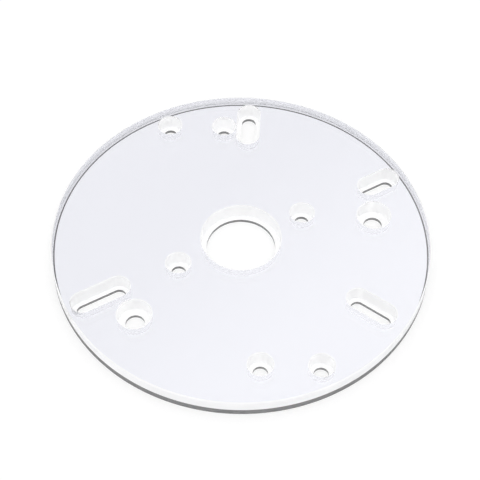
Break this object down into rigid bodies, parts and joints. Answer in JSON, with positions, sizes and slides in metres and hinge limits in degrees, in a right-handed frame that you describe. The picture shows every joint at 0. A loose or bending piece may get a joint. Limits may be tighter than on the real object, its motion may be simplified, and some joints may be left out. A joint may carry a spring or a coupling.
{
  "type": "router base plate",
  "caption": "Round clear acrylic sub-base for a hand-held router, with a stepped guide bore and recessed screw holes and slots.",
  "frame": {"origin": "centre of the lower face, the one that bolts to the router, on the axis of the guide bore", "axes": "+Z out of the sliding face along the guide bore, +Y along the top slot, +X towards the right pin hole's side"},
  "size_m": [0.165, 0.165, 0.009],
  "materials": {
    "clear_acrylic": "clear polished cast acrylic with machined steps and rim"
  },
  "bodies": {
    "root": {"base_plate": "clear_acrylic"}
  },
  "joints": []
}
